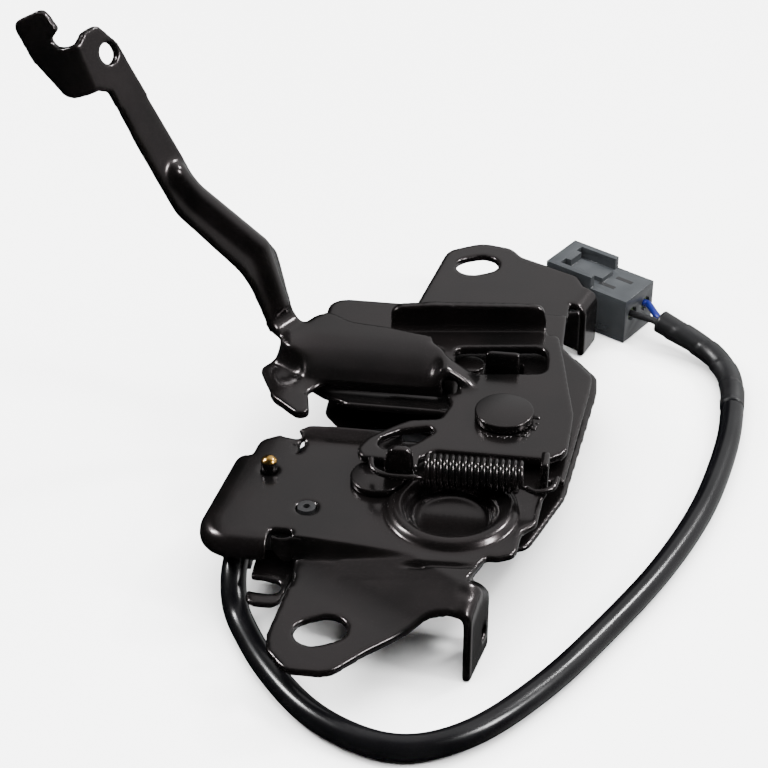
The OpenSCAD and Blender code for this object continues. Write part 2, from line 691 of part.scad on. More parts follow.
module switch_housing() {
    h = switch_top - switch_z;
    exit_z = exit_at[2] - exit_w / 2;
    color(plastic) difference() {
        union() {
            translate([0, 0, switch_z])
                sheet([[switch_lo[0], switch_lo[1], 2], [switch_hi[0], switch_lo[1], 2],
                [switch_hi[0], switch_hi[1], 2], [-24, switch_hi[1], 1], [-24.6, -30.4, 2], [-27, -27.8, 2],
                [-32, -27.8, 3], [-33.4, -36, 2], [switch_lo[0], -38, 1]], h);
            translate([pin[0], pin[1], switch_top - wall])
                cylinder(d = pin_d, h = wall + main_z + 0.3 - switch_top);
            translate([exit_at[0] - exit_w / 2, exit_at[1], exit_z])
                cube([exit_w, exit_w, switch_z + wall - exit_z]);
        }
        translate([brass[0], brass[1], switch_z - 1]) cylinder(d = brass_d + 2 * rivet_gap, h = h + 2);
        translate([pin[0], pin[1], switch_top]) cylinder(d = 1.6, h = main_z);
        translate([switch_lo[0] + wall, switch_lo[1] + wall, switch_z + wall])
            cube([switch_hi[0] - switch_lo[0] - 2 * wall, switch_hi[1] - switch_lo[1] - 2 * wall,
                h - 2 * wall]);
        translate([plunger_x, switch_hi[1] - 2 * wall, switch_mid]) rotate([-90, 0, 0])
            cylinder(d = plunger_d + 2 * plunger_gap, h = 4 * wall);
    }
}

module switch_plunger() {
    color("ivory") translate([plunger_x, 0, switch_mid]) {
        translate([0, plunger_tail, 0]) rotate([-90, 0, 0])
            cylinder(d = plunger_d, h = plunger_tip - plunger_tail);
        translate([0, plunger_tip, 0]) sphere(d = plunger_d);
        translate([-plunger_d, switch_hi[1] - wall - plunger_travel - 2 * collar_t,
            -plunger_d / 2 + plunger_gap])
            cube([2 * plunger_d, collar_t, plunger_d - 2 * plunger_gap]);
    }
}

module switch_spring() {
    turns = 5;
    from = switch_lo[1] + wall + 0.4;
    step = (plunger_tail - 0.4 - from) / (turns * 12);
    coil = [for (i = [0:turns * 12]) [plunger_x + cos(i * 30), from + i * step, switch_mid + sin(i * 30)]];
    color(steel) tube(coil, 0.4, 6);
}

module switch_contacts() {
    color("goldenrod") for (x = [-32.5, -26.5])
        translate([x, switch_lo[1] + 1.5 * wall, switch_z + wall])
            cube([contact_t, 8, switch_top - switch_z - 2 * wall]);
}

brass_head_d = brass_d + 0.4;
brass_head_h = 2.4;
brass_tail_h = 0.6;
module switch_rivet() {
    color("goldenrod") translate([brass[0], brass[1], 0]) {
        translate([0, 0, switch_z]) cylinder(d = brass_d, h = main_z - switch_z);
        translate([0, 0, main_z]) cylinder(d = brass_head_d, h = brass_head_h);
        translate([0, 0, main_z + brass_head_h]) intersection() {
            translate([0, 0, -brass_tail_h]) sphere(d = brass_head_d + 0.5);
            cylinder(d = brass_head_d, h = brass_head_d);
        }
        translate([0, 0, switch_z - brass_tail_h]) cylinder(d = brass_head_d + 1, h = brass_tail_h);
    }
}

// Wiring tail: one route from the switch along the resting surface and up to the connector
cord_gap = 0.1;
rest_gap = 0.1;
sleeve_z = floor_z + sleeve_d / 2 + rest_gap + 0.3;
sleeve_points = [exit_at - [0, 1.5, 0], [-33, -54, -4.4], [-32, -58.8, -8.4], [-30, -62.5, sleeve_z],
    [-20, -78.5, sleeve_z], [-6.7, -92, sleeve_z], [10.1, -98, sleeve_z], [25.2, -91.6, sleeve_z],
    [39.6, -74.7, sleeve_z], [52.4, -53.2, sleeve_z], [63.9, -30.5, sleeve_z], [72.7, -6.5, sleeve_z],
    [78, 18.7, sleeve_z], [79.4, 36, sleeve_z]];
tape_points = [[79, 48.4, sleeve_z + 0.1], [76.6, 55.5, -10.1], [73.9, 59.5, -9.6], [70.6, 62.2, -8.8],
    [66.5, 64.7, -7.8], [62.3, 67, -7], [59.8, 68.8, -6.6]];
route_steps = 5;
tail_route = concat([exit_at - [0, cord_gap, 0]], route(concat(sleeve_points, tape_points), route_steps));
tape_from = 1 + route_steps * (len(sleeve_points) - 1);
tape_end = tail_route[len(tail_route) - 1];
tape_way = tangent(tail_route, len(tail_route) - 1);
tape_side = unit(cross(tape_way, [0, 0, 1]));
wire_spread = 0.62;

module harness_sleeve() {
    color(plastic) tube(tail_route, sleeve_d, 10, 0, tape_from);
}

module harness_tape() {
    color(plastic) tube(tail_route, sleeve_d + 0.6, 10, tape_from);
}

// Connector at the end of the tail, lying beside the upper tab
conn_near = [27.6, 81.2];
conn_ax = [cos(conn_a), sin(conn_a), 0];
conn_ay = [-sin(conn_a), cos(conn_a), 0];
conn_at = [conn_near[0], conn_near[1], floor_z + rest_gap + conn_h / 2]
    + conn_l / 2 * conn_ax + conn_w / 2 * conn_ay;
rear_h = conn_h - 3.4;
hood_l = 14.5;
rail_w = 1.8;
band_l = 3.4;
latch_w = 5.2;
latch_h = 2.4;
core_z = -0.6;
core_d = 2.6;
core_y = 3.3;
terminal_d = 1.6;
seal_d = 4;
seal_l = 4;
seal_bite = 1;
lock_x = 4.5;
lock_l = 3;
lock_h = 1.6;
lock_gap = 0.1;
module on_connector() {
    translate(conn_at) rotate(conn_a) children();
}

module wire(side) {
    foot = conn_at + (conn_l / 2 - 1 - seal_bite + cord_gap) * conn_ax
        + side * core_y * conn_ay + [0, 0, core_z];
    head = tape_end + cord_gap * tape_way + side * wire_spread * wire_d * tape_side;
    way = route([foot + 3 * conn_ax, head + 2 * tape_way, head + 0.5 * tape_way], 4);
    tube(concat([foot], way, [head]), wire_d, 8);
}

module blue_wire() {
    color("royalblue") wire(1);
}

module black_wire() {
    color(plastic) wire(-1);
}

module connector_housing() {
    low = -conn_h / 2;
    left = -conn_l / 2;
    color(grey) on_connector() difference() {
        union() {
            translate([left, -conn_w / 2, low]) cube([conn_l, conn_w, rear_h]);
            for (s = [-1, 1]) translate([left, s * (conn_w - rail_w) / 2 - rail_w / 2, 0])
                cube([hood_l, rail_w, conn_h / 2]);
            translate([left, -conn_w / 2, conn_h / 2 - rail_w]) cube([band_l, conn_w, rail_w]);
            translate([left + 1, -latch_w / 2, low + rear_h - 1]) cube([hood_l, latch_w, latch_h]);
            translate([left + band_l / 2, -latch_w / 2, conn_h / 2 - latch_h])
                cube([band_l, latch_w, latch_h]);
        }
        translate([left - 1, -conn_w / 2 + wall, low + wall])
            cube([12, conn_w - 2 * wall, rear_h - 2 * wall]);
        for (s = [-1, 1]) translate([left, s * core_y, core_z]) rotate([0, 90, 0]) {
            cylinder(d = core_d, h = conn_l);
            translate([0, 0, conn_l - seal_l - 1]) cylinder(d = seal_d, h = seal_l + 2);
        }
        translate([lock_x, -conn_w / 2 - 1, low + wall]) cube([lock_l, conn_w + 2, lock_h]);
    }
}

module connector_retainer() {
    color(grey) on_connector()
        translate([lock_x + lock_gap, -conn_w / 2 - 0.3, -conn_h / 2 + wall + lock_gap])
        cube([lock_l - 2 * lock_gap, conn_w + 0.6, lock_h - 2 * lock_gap]);
}

module connector_terminals() {
    color("silver") on_connector() for (s = [-1, 1])
        translate([-conn_l / 2 + 4, s * core_y, core_z]) rotate([0, 90, 0])
            cylinder(d = terminal_d, h = conn_l - 10);
}

module wire_seals() {
    color("darkolivegreen") on_connector() for (s = [-1, 1])
        translate([conn_l / 2 - seal_l - 1, s * core_y, core_z]) rotate([0, 90, 0]) difference() {
            cylinder(d = seal_d - 2 * rivet_gap, h = seal_l);
            translate([0, 0, seal_l - seal_bite]) cylinder(d = wire_d + 2 * run_gap, h = seal_l);
        }
}

base_plate();
rear_plate();
safety_lever();
lever_rivet();
lever_bush();
claw();
claw_rivet();
pawl();
far_rivet();
far_spacer();
lever_spring();
claw_spring();
pawl_spring();
switch_housing();
switch_plunger();
switch_spring();
switch_contacts();
switch_rivet();
harness_sleeve();
harness_tape();
blue_wire();
black_wire();
connector_housing();
connector_retainer();
connector_terminals();
wire_seals();
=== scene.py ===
import math

import bmesh
import bpy
from mathutils import Matrix, Vector


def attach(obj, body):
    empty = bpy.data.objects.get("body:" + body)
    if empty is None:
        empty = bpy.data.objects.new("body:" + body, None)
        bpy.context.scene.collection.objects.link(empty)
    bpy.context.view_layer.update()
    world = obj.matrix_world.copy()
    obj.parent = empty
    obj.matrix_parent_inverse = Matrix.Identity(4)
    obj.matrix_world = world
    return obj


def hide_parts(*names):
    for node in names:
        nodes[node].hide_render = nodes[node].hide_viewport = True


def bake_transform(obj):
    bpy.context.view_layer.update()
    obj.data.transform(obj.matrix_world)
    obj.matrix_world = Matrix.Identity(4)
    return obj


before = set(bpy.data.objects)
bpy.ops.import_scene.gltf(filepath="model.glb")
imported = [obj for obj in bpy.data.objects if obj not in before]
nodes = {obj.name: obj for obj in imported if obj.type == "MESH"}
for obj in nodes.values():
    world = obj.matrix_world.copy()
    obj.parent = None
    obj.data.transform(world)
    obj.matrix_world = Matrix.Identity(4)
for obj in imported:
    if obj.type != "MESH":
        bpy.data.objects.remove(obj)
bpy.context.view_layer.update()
MM = 0.001


# Camera at the photograph's viewing angle
FOCAL_MM = 100
SENSOR_MM = 36
ELEVATION = math.radians(34.6)
AZIMUTH = math.radians(8)
DISTANCE = 525.4 * MM
TARGET = Vector((-7.10, 8.17, 8.0)) * MM
away = Vector((math.sin(AZIMUTH) * math.cos(ELEVATION), -math.cos(AZIMUTH) * math.cos(ELEVATION),
               math.sin(ELEVATION)))
camera_data = bpy.data.cameras.new("camera")
camera_data.lens = FOCAL_MM
camera_data.sensor_width = SENSOR_MM
camera_data.clip_start = 0.01
camera = bpy.data.objects.new("camera", camera_data)
camera.location = TARGET + away * DISTANCE
camera.rotation_euler = away.to_track_quat("Z", "Y").to_euler()
bpy.context.collection.objects.link(camera)
bpy.context.scene.camera = camera


# Materials
def linear(code):
    """sRGB hex to linear colour with alpha."""
    parts = [int(code[i:i + 2], 16) / 255 for i in (1, 3, 5)]
    return [c / 12.92 if c <= 0.04045 else ((c + 0.055) / 1.055) ** 2.4 for c in parts] + [1.0]


def add(tree, kind, settings=None, links=None, stops=()):
    """Adds a node. Settings are its properties or its inputs' values, links lead from output sockets to its
    inputs, and stops are a colour ramp's positions and hex colours."""
    node = tree.nodes.new(kind)
    for key, value in (settings or {}).items():
        if isinstance(key, int) or key in node.inputs:
            node.inputs[key].default_value = value
        else:
            setattr(node, key, value)
    for key, socket in (links or {}).items():
        tree.links.new(socket, node.inputs[key])
    for i, (position, code) in enumerate(stops):
        node.color_ramp.elements[i].position = position
        node.color_ramp.elements[i].color = linear(code)
    return node


def start_material(name, constants):
    """A material with its shader's constant sockets set; returns it, its tree and its object coordinates."""
    material = bpy.data.materials.new(name)
    material.use_nodes = True
    tree = material.node_tree
    for key, value in constants.items():
        tree.nodes["Principled BSDF"].inputs[key].default_value = value
    return material, tree, add(tree, "ShaderNodeTexCoord").outputs["Object"]


def shaded(tree, **sockets):
    """Links output sockets to the shader's inputs, with Base_Color for Base Color."""
    for key, socket in sockets.items():
        tree.links.new(socket, tree.nodes["Principled BSDF"].inputs[key.replace("_", " ")])


def per_metre(size_mm):
    """Scale of a pattern whose features are about size_mm across."""
    return 1 / (size_mm * MM)


def dipped_black_paint():
    """Steel dipped in black electrophoretic paint: a wet-looking film with a warm grey sheen on flats. Its
    orange peel is drawn coarser than the real one, so that it shows."""
    material, tree, place = start_material("steel_dipped_black_paint", {
        "Metallic": 0.0, "IOR": 1.47, "Specular Tint": linear("#fff3f4"), "Coat Weight": 0.15,
        "Coat Roughness": 0.06})
    cloud = add(tree, "ShaderNodeTexNoise", {"Scale": per_metre(14), "Detail": 4.0},
                {"Vector": place}).outputs["Fac"]
    colour = add(tree, "ShaderNodeValToRGB", None, {"Fac": cloud}, [(0.35, "#030303"), (0.65, "#060505")])
    rough = add(tree, "ShaderNodeMapRange", {"To Min": 0.18, "To Max": 0.28}, {"Value": cloud})
    peel = add(tree, "ShaderNodeTexNoise", {"Scale": per_metre(1.3), "Detail": 2.0},
               {"Vector": place}).outputs["Fac"]
    bump = add(tree, "ShaderNodeBump", {"Distance": 0.04 * MM, "Strength": 0.2}, {"Height": peel})
    shaded(tree, Base_Color=colour.outputs["Color"], Roughness=rough.outputs["Result"],
           Normal=bump.outputs["Normal"])
    return material


def oiled_zinc_steel():
    """Zinc-plated steel, pressed and lightly oiled: soft grey metal with cloudy plating. Its grain is drawn
    coarser than the real one, so that it shows."""
    material, tree, place = start_material("steel_zinc_plated", {"Metallic": 1.0})
    cloud = add(tree, "ShaderNodeTexNoise", {"Scale": per_metre(6), "Detail": 5.0},
                {"Vector": place}).outputs["Fac"]
    colour = add(tree, "ShaderNodeValToRGB", None, {"Fac": cloud}, [(0.3, "#38383a"), (0.7, "#5c5c5f")])
    rough = add(tree, "ShaderNodeMapRange", {"To Min": 0.28, "To Max": 0.48}, {"Value": cloud})
    grain = add(tree, "ShaderNodeTexNoise", {"Scale": per_metre(0.5)}, {"Vector": place}).outputs["Fac"]
    bump = add(tree, "ShaderNodeBump", {"Distance": 0.02 * MM, "Strength": 0.2}, {"Height": grain})
    shaded(tree, Base_Color=colour.outputs["Color"], Roughness=rough.outputs["Result"],
           Normal=bump.outputs["Normal"])
    return material


def moulded(name, dark, light, rough_low, rough_high, grain_mm):
    """Moulded or extruded polymer: even colour with slight flow clouds. Its grain is drawn coarser than the
    real one, so that it shows."""
    material, tree, place = start_material(name, {"Metallic": 0.0, "IOR": 1.48})
    cloud = add(tree, "ShaderNodeTexNoise", {"Scale": per_metre(9), "Detail": 3.0},
                {"Vector": place}).outputs["Fac"]
    colour = add(tree, "ShaderNodeValToRGB", None, {"Fac": cloud}, [(0.35, dark), (0.65, light)])
    rough = add(tree, "ShaderNodeMapRange", {"To Min": rough_low, "To Max": rough_high}, {"Value": cloud})
    grain = add(tree, "ShaderNodeTexNoise", {"Scale": per_metre(grain_mm), "Detail": 2.0}, {"Vector": place})
    bump = add(tree, "ShaderNodeBump", {"Distance": 0.03 * MM, "Strength": 0.25},
               {"Height": grain.outputs["Fac"]})
    shaded(tree, Base_Color=colour.outputs["Color"], Roughness=rough.outputs["Result"],
           Normal=bump.outputs["Normal"])
    return material


def turned_brass():
    """Brass turned and headed: warm yellow metal with turning lines round its axis, drawn coarser than
    the real ones."""
    material, tree, place = start_material("brass_turned", {"Metallic": 1.0})
    cloud = add(tree, "ShaderNodeTexNoise", {"Scale": per_metre(1.5), "Detail": 3.0},
                {"Vector": place}).outputs["Fac"]
    colour = add(tree, "ShaderNodeValToRGB", None, {"Fac": cloud}, [(0.3, "#b98a3c"), (0.7, "#e6bd72")])
    rough = add(tree, "ShaderNodeMapRange", {"To Min": 0.16, "To Max": 0.3}, {"Value": cloud})
    lines = add(tree, "ShaderNodeTexWave", {"Scale": per_metre(0.4), "bands_direction": "Z"},
                {"Vector": place})
    bump = add(tree, "ShaderNodeBump", {"Distance": 0.01 * MM, "Strength": 0.3},
               {"Height": lines.outputs["Fac"]})
    shaded(tree, Base_Color=colour.outputs["Color"], Roughness=rough.outputs["Result"],
           Normal=bump.outputs["Normal"])
    return material


PAINT = dipped_black_paint()
ZINC = oiled_zinc_steel()
BRASS = turned_brass()
# Dull black with a spark-eroded mould's even sheen
BLACK_PLASTIC = moulded("polyamide_black_moulded", "#101011", "#161617", 0.4, 0.5, 0.4)
# Dark neutral grey with a finer sheen
GREY_PLASTIC = moulded("polyester_grey_moulded", "#1f2123", "#282a2c", 0.32, 0.42, 0.35)
# Warm off-white with a waxy sheen
IVORY_PLASTIC = moulded("acetal_ivory_moulded", "#d8cfb6", "#e4dcc6", 0.3, 0.4, 0.4)
# Glossy black tube with slow waves in its skin
SLEEVE = moulded("vinyl_sleeve_extruded", "#030304", "#060607", 0.2, 0.3, 2.5)
# Black tape, duller and more wrinkled than the sleeve
TAPE = moulded("vinyl_tape_wound", "#060607", "#0d0d0e", 0.32, 0.5, 1.6)
# Smooth coloured insulation
BLUE_WIRE = moulded("vinyl_wire_blue_extruded", "#080d3c", "#0d1450", 0.3, 0.42, 0.6)
BLACK_WIRE = moulded("vinyl_wire_black_extruded", "#0c0c0d", "#141415", 0.3, 0.42, 0.6)
# Dull green rubber
SEAL = moulded("silicone_seal_moulded", "#3f4a33", "#4a563d", 0.45, 0.55, 0.4)

FINISHES = {
    "base_plate": PAINT, "rear_plate": PAINT, "safety_lever": PAINT, "lever_rivet": PAINT,
    "claw_rivet": PAINT, "far_rivet": PAINT, "lever_spring": PAINT, "claw": ZINC, "pawl": ZINC,
    "lever_bush": ZINC, "far_spacer": ZINC, "claw_spring": ZINC, "pawl_spring": ZINC, "switch_spring": ZINC,
    "connector_terminals": ZINC,
    "switch_housing": BLACK_PLASTIC, "switch_plunger": IVORY_PLASTIC, "switch_contacts": BRASS,
    "switch_rivet": BRASS, "harness_sleeve": SLEEVE, "harness_tape": TAPE, "blue_wire": BLUE_WIRE,
    "black_wire": BLACK_WIRE, "connector_housing": GREY_PLASTIC, "connector_retainer": GREY_PLASTIC,
    "wire_seals": SEAL,
}


def dress(obj, *materials):
    obj.data.materials.clear()
    for material in materials:
        obj.data.materials.append(material)


for name, node in nodes.items():
    dress(node, FINISHES[name])


# Building
MERGE_GAP = 2e-6
SHARP = math.radians(40)


def as_object(name, bm, *materials):
    """Turns a bmesh into a smooth-shaded object at the origin."""
    bmesh.ops.recalc_face_normals(bm, faces=bm.faces)
    mesh = bpy.data.meshes.new(name)
    bm.to_mesh(mesh)
    bm.free()
    mesh.shade_smooth()
    obj = bpy.data.objects.new(name, mesh)
    bpy.context.collection.objects.link(obj)
    dress(obj, *materials)
    return obj


def merged(name):
    """A bmesh of a CAD node with its loose triangles joined."""
    bm = bmesh.new()
    bm.from_mesh(nodes[name].data)
    bmesh.ops.transform(bm, matrix=nodes[name].matrix_world, verts=bm.verts)
    bmesh.ops.remove_doubles(bm, verts=bm.verts, dist=MERGE_GAP)
    return bm


def through(obj, kind, **settings):
    """The object's mesh after one modifier, as a bmesh; the object itself goes."""
    modifier = obj.modifiers.new(kind.lower(), kind)
    for key, value in settings.items():
        setattr(modifier, key, value)
    bm = bmesh.new()
    bm.from_object(obj, bpy.context.evaluated_depsgraph_get())
    bpy.data.objects.remove(obj)
    return bm


def fade(value, start, run):
    """Rises smoothly from 0 at start to 1 a run further on; a negative run leads the other way."""
    t = min(1.0, max(0.0, (value - start) / run))
    return t * t * (3 - 2 * t)


def inside(point, box):
    """Whether a point lies in a box, given by its low and high corners."""
    low, high = box
    return all(low[i] < point[i] < high[i] for i in range(3))


# Stampings, with places in millimetres
PAINT_PASSES = 5
ANY_Z = 200


def smoothed(bm, passes, verts):
    for _ in range(passes):
        bmesh.ops.smooth_vert(bm, verts=verts, factor=0.5, use_axis_x=True, use_axis_y=True, use_axis_z=True)


def stamped(name, body, voxel_mm, keep, forms=(), soft=()):
    """A stamping's copy with edges rounded by shearing and paint, pressed by forms, relaxed in soft boxes and
    thinned to a share of its faces, riding on its body."""
    rough = as_object(name + "_rough", merged(name), PAINT)
    bm = through(rough, "REMESH", mode="VOXEL", voxel_size=voxel_mm * MM)
    for form in forms:
        form(bm)
    smoothed(bm, PAINT_PASSES, bm.verts)
    for passes, box in soft:
        smoothed(bm, passes, [v for v in bm.verts if inside([c / MM for c in v.co], box)])
    bm = through(as_object(name + "_dense", bm, PAINT), "DECIMATE", ratio=keep)
    obj = as_object(name + "_stamped", bm, PAINT)
    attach(obj, body)
    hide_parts(name)


def dent(at_mm, radius_mm, push_mm):
    """A form that pushes the surface near a point by a vector."""
    centre, push = Vector(at_mm) * MM, Vector(push_mm) * MM

    def press(bm):
        for v in bm.verts:
            gap = (v.co - centre).length / (radius_mm * MM)
            if gap < 1:
                v.co += push * fade(gap, 1, -1)
    return press


def groove(a_mm, b_mm, half_mm, push_mm):
    """A form that pushes the surface near a line by a vector, fading towards the line's ends."""
    a, b, push = Vector(a_mm) * MM, Vector(b_mm) * MM, Vector(push_mm) * MM
    line = b - a

    def press(bm):
        for v in bm.verts:
            t = (v.co - a).dot(line) / line.length_squared
            gap = (v.co - a - line * min(1, max(0, t))).length / (half_mm * MM)
            if gap < 1:
                v.co += push * fade(gap, 1, -1) * min(1, 4 * t * (1 - t) + 0.2)
    return press


# Web between the main plate and the lower tab, in its own axes u along its foot and w up its slope
WEB_FROM = Vector((-21, -60.6))
WEB_TURN = math.radians(4.5)
WEB_RUN, LOW_TOP, HIGH_TOP = 7.6, 2.0, 8.0
WALL_W, WALL_RUN = 5.6, 1.6
CREASE_END = Vector((46, -20))
FAN_L, FAN_TOE = 14.5, 0.3
FAN_FOOT = -8
FAN_BOX = ((-1, -26, FAN_FOOT), (50, 8.2, ANY_Z))


def fan_web(bm):
    """Turns the even web into a steep wall at its left that dies out into a long ramp."""
    crease = (CREASE_END - Vector((0, WALL_W))).normalized()
    rise = HIGH_TOP - LOW_TOP
    for v in bm.verts:
        x, y, z = v.co / MM
        dx, dy = x - WEB_FROM.x, y - WEB_FROM.y
        u = dx * math.cos(WEB_TURN) - dy * math.sin(WEB_TURN)
        w = dx * math.sin(WEB_TURN) + dy * math.cos(WEB_TURN)
        if not inside((u, w, z), FAN_BOX):
            continue
        old = rise * min(1, max(0, w / WEB_RUN))
        fan = (crease.x * (w - WALL_W) - crease.y * u) / FAN_L
        toe = max(0, min(fan + FAN_TOE, 2 * FAN_TOE)) ** 2 / (4 * FAN_TOE)
        foot = rise * min(1, toe + max(0, fan - FAN_TOE))
        new = foot + (rise - foot) * fade(w, WALL_W, WALL_RUN)
        v.co.z += (new - old) * MM * fade(z, FAN_FOOT, 8)


SLIT_LEFT, SLIT_NEAR, SLIT_SHIFT = -29, -23.6, 1.7
SLIT_BOX = ((SLIT_LEFT, SLIT_NEAR, 5), (-23.6, -15, ANY_Z))


def close_slit(bm):
    """Narrows the relief slit at the lip's left end."""
    for v in bm.verts:
        x, y, z = v.co / MM
        if inside((x, y, z), SLIT_BOX):
            v.co.x += SLIT_SHIFT * MM * fade(x, SLIT_LEFT, 4) * fade(y, SLIT_NEAR, 1.5)


LIP_Y, LIP_MID, LIP_TURN, LIP_DRAW = -18.4, 7.0, math.radians(10), 0.85
LIP_BOX = ((-27, LIP_Y, 5), (1, -11, ANY_Z))


def raise_lip(bm):
    """Turns the lip along the striker slot further up, less so under the lever's spring arm."""
    for v in bm.verts:
        x, y, z = v.co / MM
        if inside((x, y, z), LIP_BOX):
            turn = LIP_TURN * fade(x, -2, -6) * fade(y, LIP_Y, 1.5)
            dy, dz = LIP_DRAW * (y - LIP_Y), z - LIP_MID
            v.co.y = (LIP_Y + dy * math.cos(turn) - dz * math.sin(turn)) * MM
            v.co.z = (LIP_MID + dy * math.sin(turn) + dz * math.cos(turn)) * MM


LEDGE_LEFT, LEDGE_RIGHT, LEDGE_FAR, LEDGE_LIFT = -24, 13, 4, 1.7
LEDGE_BOX = ((LEDGE_LEFT, -6, 5), (LEDGE_RIGHT, LEDGE_FAR, ANY_Z))


def lift_ledge(bm):
    """Lifts the striker slot's far edge a little, so that it mirrors the saddle's wall."""
    for v in bm.verts:
        x, y, z = v.co / MM
        if inside((x, y, z), LEDGE_BOX):
            lift = LEDGE_LIFT * MM * fade(y, LEDGE_FAR, -8) * fade(x, LEDGE_LEFT, 6)
            v.co.z += lift * fade(x, LEDGE_RIGHT, -3)


DISH = Vector((15, -39.5))
DISH_R, DISH_DROP, DISH_FACE = 10.4, 1.0, 4.8


def deepen_dish(bm):
    """Lowers the dish's upper face and leaves its underside clear of the claw and the pawl."""
    for v in bm.verts:
        gap = (Vector((v.co.x, v.co.y)) / MM - DISH).length
        v.co.z -= DISH_DROP * MM * fade(gap, DISH_R, -2.4) * fade(v.co.z / MM, DISH_FACE, 1.0)


SADDLE_LEFT, SADDLE_RIGHT, SADDLE_FAR, SADDLE_LOW = -30, 9, 14, 12.8
SADDLE_BOX = ((SADDLE_LEFT, -2, SADDLE_LOW), (SADDLE_RIGHT, SADDLE_FAR, ANY_Z))
SADDLE_W, SADDLE_ROLL = 9, 2.6


def roll_saddle(bm):
    """Rolls the saddle's near side over in a wide curve towards its wall."""
    for v in bm.verts:
        x, y, z = v.co / MM
        if inside((x, y, z), SADDLE_BOX):
            near = min(1.1, max(0, (SADDLE_FAR - y) / SADDLE_W))
            roll = SADDLE_ROLL * MM * near * near * fade(z, SADDLE_LOW, 4)
            v.co.z -= roll * fade(x, SADDLE_LEFT, 5) * fade(x, SADDLE_RIGHT, -4)


web_groove = groove((5.5, -59.4, 7.6), (23, -58.6, 7.4), 1.3, (0, 0, -1.4))
gusset_dimple = dent((21.4, -66, 5.6), 3.0, (-1.2, 0, -1.6))
hook_dimple = dent((-30, 1.5, 12.6), 3.4, (0, 0, -0.8))
LIP_CORNER = ((-28, -20, 7), (-17, -10, 14))
TOOTH_CORNER = ((-26, -64, -2), (-8, -55.4, 5))
SADDLE_TOP = ((-27, -1, 12.9), (6, 15, 20))
SADDLE_END = ((2, 0, 12), (16, 14, 20))
HOOK = ((-39, -5, 10), (-18, 12, 19.6))
ARM_FOOT = ((-36, 6, 13), (-24, 27, 27))
FINGER_ARM = ((-90, -20, 20), (-20, 30, 80))

stamped("base_plate", "frame", voxel_mm=0.45, keep=0.55,
        forms=[fan_web, close_slit, raise_lip, lift_ledge, deepen_dish, web_groove, gusset_dimple],
        soft=[(14, LIP_CORNER), (14, TOOTH_CORNER)])
stamped("rear_plate", "frame", voxel_mm=0.6, keep=0.5)
stamped("safety_lever", "safety_lever", voxel_mm=0.4, keep=0.6, forms=[roll_saddle, hook_dimple],
        soft=[(60, SADDLE_TOP), (40, SADDLE_END), (40, HOOK), (16, ARM_FOOT), (20, FINGER_ARM)])


# Rivets, mouldings and the catch, with their hard edges rounded
FLAT = math.radians(1)
HARD_EDGE = math.radians(35)
ROUND_STEPS = 3


def softened(name, body, width_mm):
    """A copy of a node with its hard edges rounded, riding on its body."""
    bm = merged(name)
    bmesh.ops.dissolve_limit(bm, angle_limit=FLAT, verts=bm.verts, edges=bm.edges)
    edges = [e for e in bm.edges if len(e.link_faces) == 2 and e.calc_face_angle(0) > HARD_EDGE]
    bmesh.ops.bevel(bm, geom=edges, offset=width_mm * MM, offset_type="OFFSET", affect="EDGES",
                    segments=ROUND_STEPS, profile=0.5, material=-1, clamp_overlap=True)
    obj = as_object(name + "_softened", bm, FINISHES[name])
    obj.data.set_sharp_from_angle(angle=SHARP)
    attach(obj, body)
    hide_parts(name)
    return obj


for name, width_mm in {"lever_rivet": 0.35, "claw_rivet": 0.5, "far_rivet": 0.2, "switch_housing": 0.3,
                       "connector_housing": 0.5, "connector_retainer": 0.2}.items():
    softened(name, "frame", width_mm)
softened("claw", "claw", 0.25)
softened("pawl", "pawl", 0.25)


# Wiring tail: the route's points repeat those of the solids, in millimetres
SLEEVE_D = 6
FLOOR_Z = -14
LIE_Z = FLOOR_Z + SLEEVE_D / 2 + 0.4
EXIT = (-33, -49.7, -3.1)
SLEEVE_POINTS = [(-33, -51.1, -3.1), (-33, -54, -4.4), (-32, -58.8, -8.4), (-30, -62.5, LIE_Z),
                 (-20, -78.5, LIE_Z), (-6.7, -92, LIE_Z), (10.1, -98, LIE_Z), (25.2, -91.6, LIE_Z),
                 (39.6, -74.7, LIE_Z), (52.4, -53.2, LIE_Z), (63.9, -30.5, LIE_Z), (72.7, -6.5, LIE_Z),
                 (78, 18.7, LIE_Z), (79.4, 36, LIE_Z)]
TAPE_POINTS = [(79, 48.4, LIE_Z + 0.1), (76.6, 55.5, -10.1), (73.9, 59.5, -9.6), (70.6, 62.2, -8.8),
               (66.5, 64.7, -7.8), (62.3, 67, -7), (59.8, 68.8, -6.6)]
ROUTE_STEP, ROUTE_PASSES = 1.2, 10


def smooth_route(points, steps):
    """Catmull-Rom curve through the points, in metres."""
    p = [Vector(q) * MM for q in points]
    n = len(p) - 1
    out = []
    for k in range(n):
        a, b, c, d = p[max(k - 1, 0)], p[k], p[k + 1], p[min(k + 2, n)]
        for i in range(steps):
            u = i / steps
            out.append(0.5 * (2 * b + (c - a) * u + (2 * a - 5 * b + 4 * c - d) * u * u
                              + (3 * b - a - 3 * c + d) * u * u * u))
    return out + [p[n]]


def resampled(points, step):
    """Points at an even spacing along a route."""
    out, left = [points[0]], step
    for a, b in zip(points, points[1:]):
        length = (b - a).length
        while left <= length:
            out.append(a.lerp(b, left / length))
            left += step
        left -= length
    return out[:-1] + [points[-1]]


def relaxed(points, passes):
    """Evens out a route's tight turns, ends kept."""
    for _ in range(passes):
        middle = [(a + 2 * b + c) / 4 for a, b, c in zip(points, points[1:], points[2:])]
        points = [points[0]] + middle + [points[-1]]
    return points


